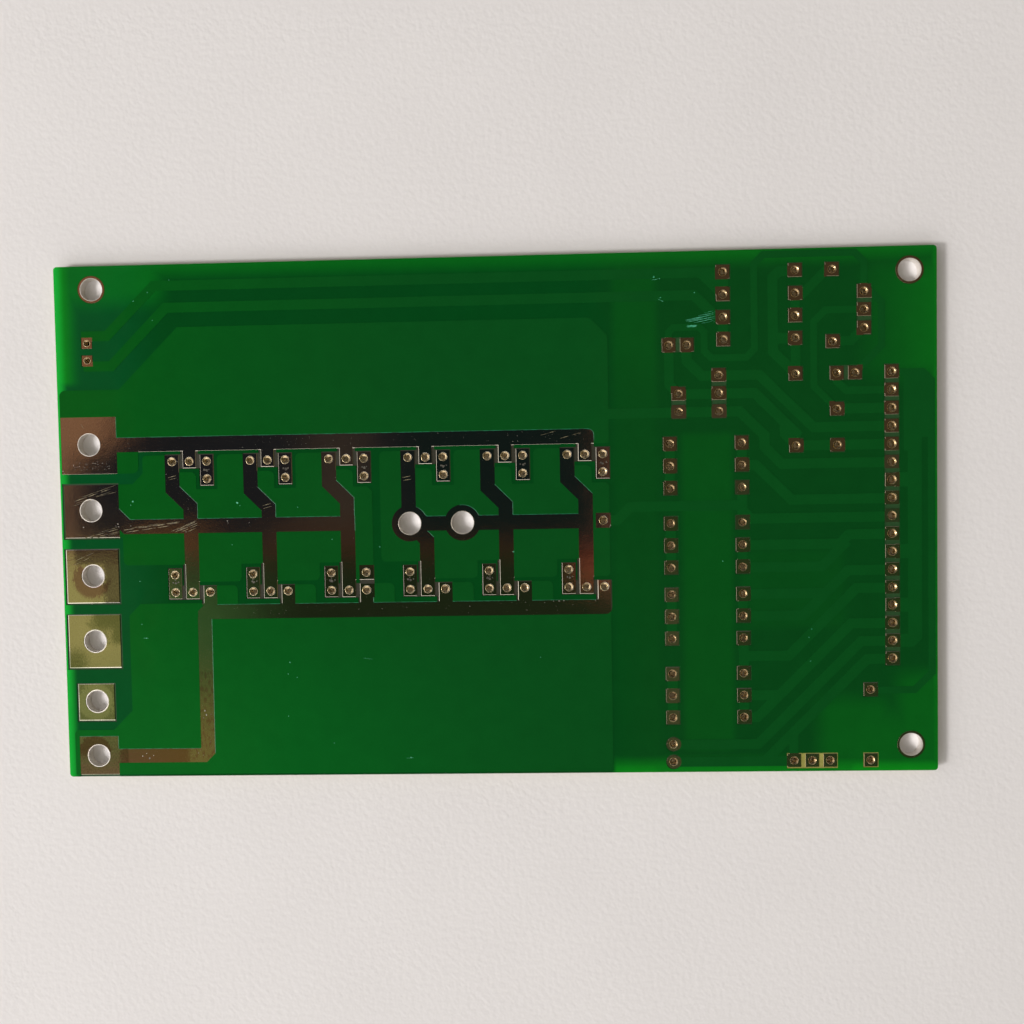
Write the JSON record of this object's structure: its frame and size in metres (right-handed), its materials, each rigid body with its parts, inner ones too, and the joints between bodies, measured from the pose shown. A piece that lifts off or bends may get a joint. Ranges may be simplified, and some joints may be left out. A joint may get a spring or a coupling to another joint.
{
  "type": "inverter board",
  "caption": "Bare green power-inverter circuit board, solder side up: screw-terminal pads at left, tinned transistor busbars, resistor columns and a long pin-header column.",
  "frame": {"origin": "centre of the board's underside, on the plane it rests on", "axes": "+X along the long edge from the terminals towards the header, +Y along the short edge, +Z out of the solder side"},
  "size_m": [0.1258, 0.0742, 0.0016],
  "materials": {
    "laminate": "matte",
    "front_mask": "gloss",
    "rear_mask": "gloss",
    "tinned_bus": "gloss",
    "tinned_olive": "gloss",
    "tinned_pads": "gloss",
    "plating": "satin"
  },
  "bodies": {
    "root": {"laminate": "laminate", "front_mask": "front_mask", "rear_mask": "rear_mask", "positive_bus": "tinned_bus", "left_phase_bus": "tinned_bus", "right_phase_bus": "tinned_bus", "negative_bus": "tinned_bus", "upper_output_pad": "tinned_olive", "lower_output_pad": "tinned_olive", "small_output_pad": "tinned_olive", "high_side_gate_pads": "tinned_pads", "low_side_gate_pads": "tinned_pads", "gate_resistor_pads": "tinned_pads", "outer_sense_track": "tinned_pads", "inner_sense_track": "tinned_pads", "return_loop_track": "tinned_pads", "regulator_feed_track": "tinned_pads", "regulator_link_track": "tinned_pads", "capacitor_link_track": "tinned_pads", "pin_2_track": "tinned_pads", "pin_3_track": "tinned_pads", "pin_4_track": "tinned_pads", "pin_8_track": "tinned_pads", "pin_10_track": "tinned_pads", "pin_12_track": "tinned_pads", "pin_13_track": "tinned_pads", "pin_15_track": "tinned_pads", "pin_17_track": "tinned_pads", "ground_bus": "tinned_pads", "edge_pads": "tinned_olive", "mounting_rings": "tinned_pads", "rear_terminal_pads": "plating", "rear_transistor_pads": "plating", "rear_header_pads": "plating", "rear_lead_pads": "plating", "barrels_terminal": "plating", "barrels_mounting": "plating", "barrels_transistor": "plating", "barrels_header": "plating", "barrels_lead": "plating"}
  },
  "joints": []
}
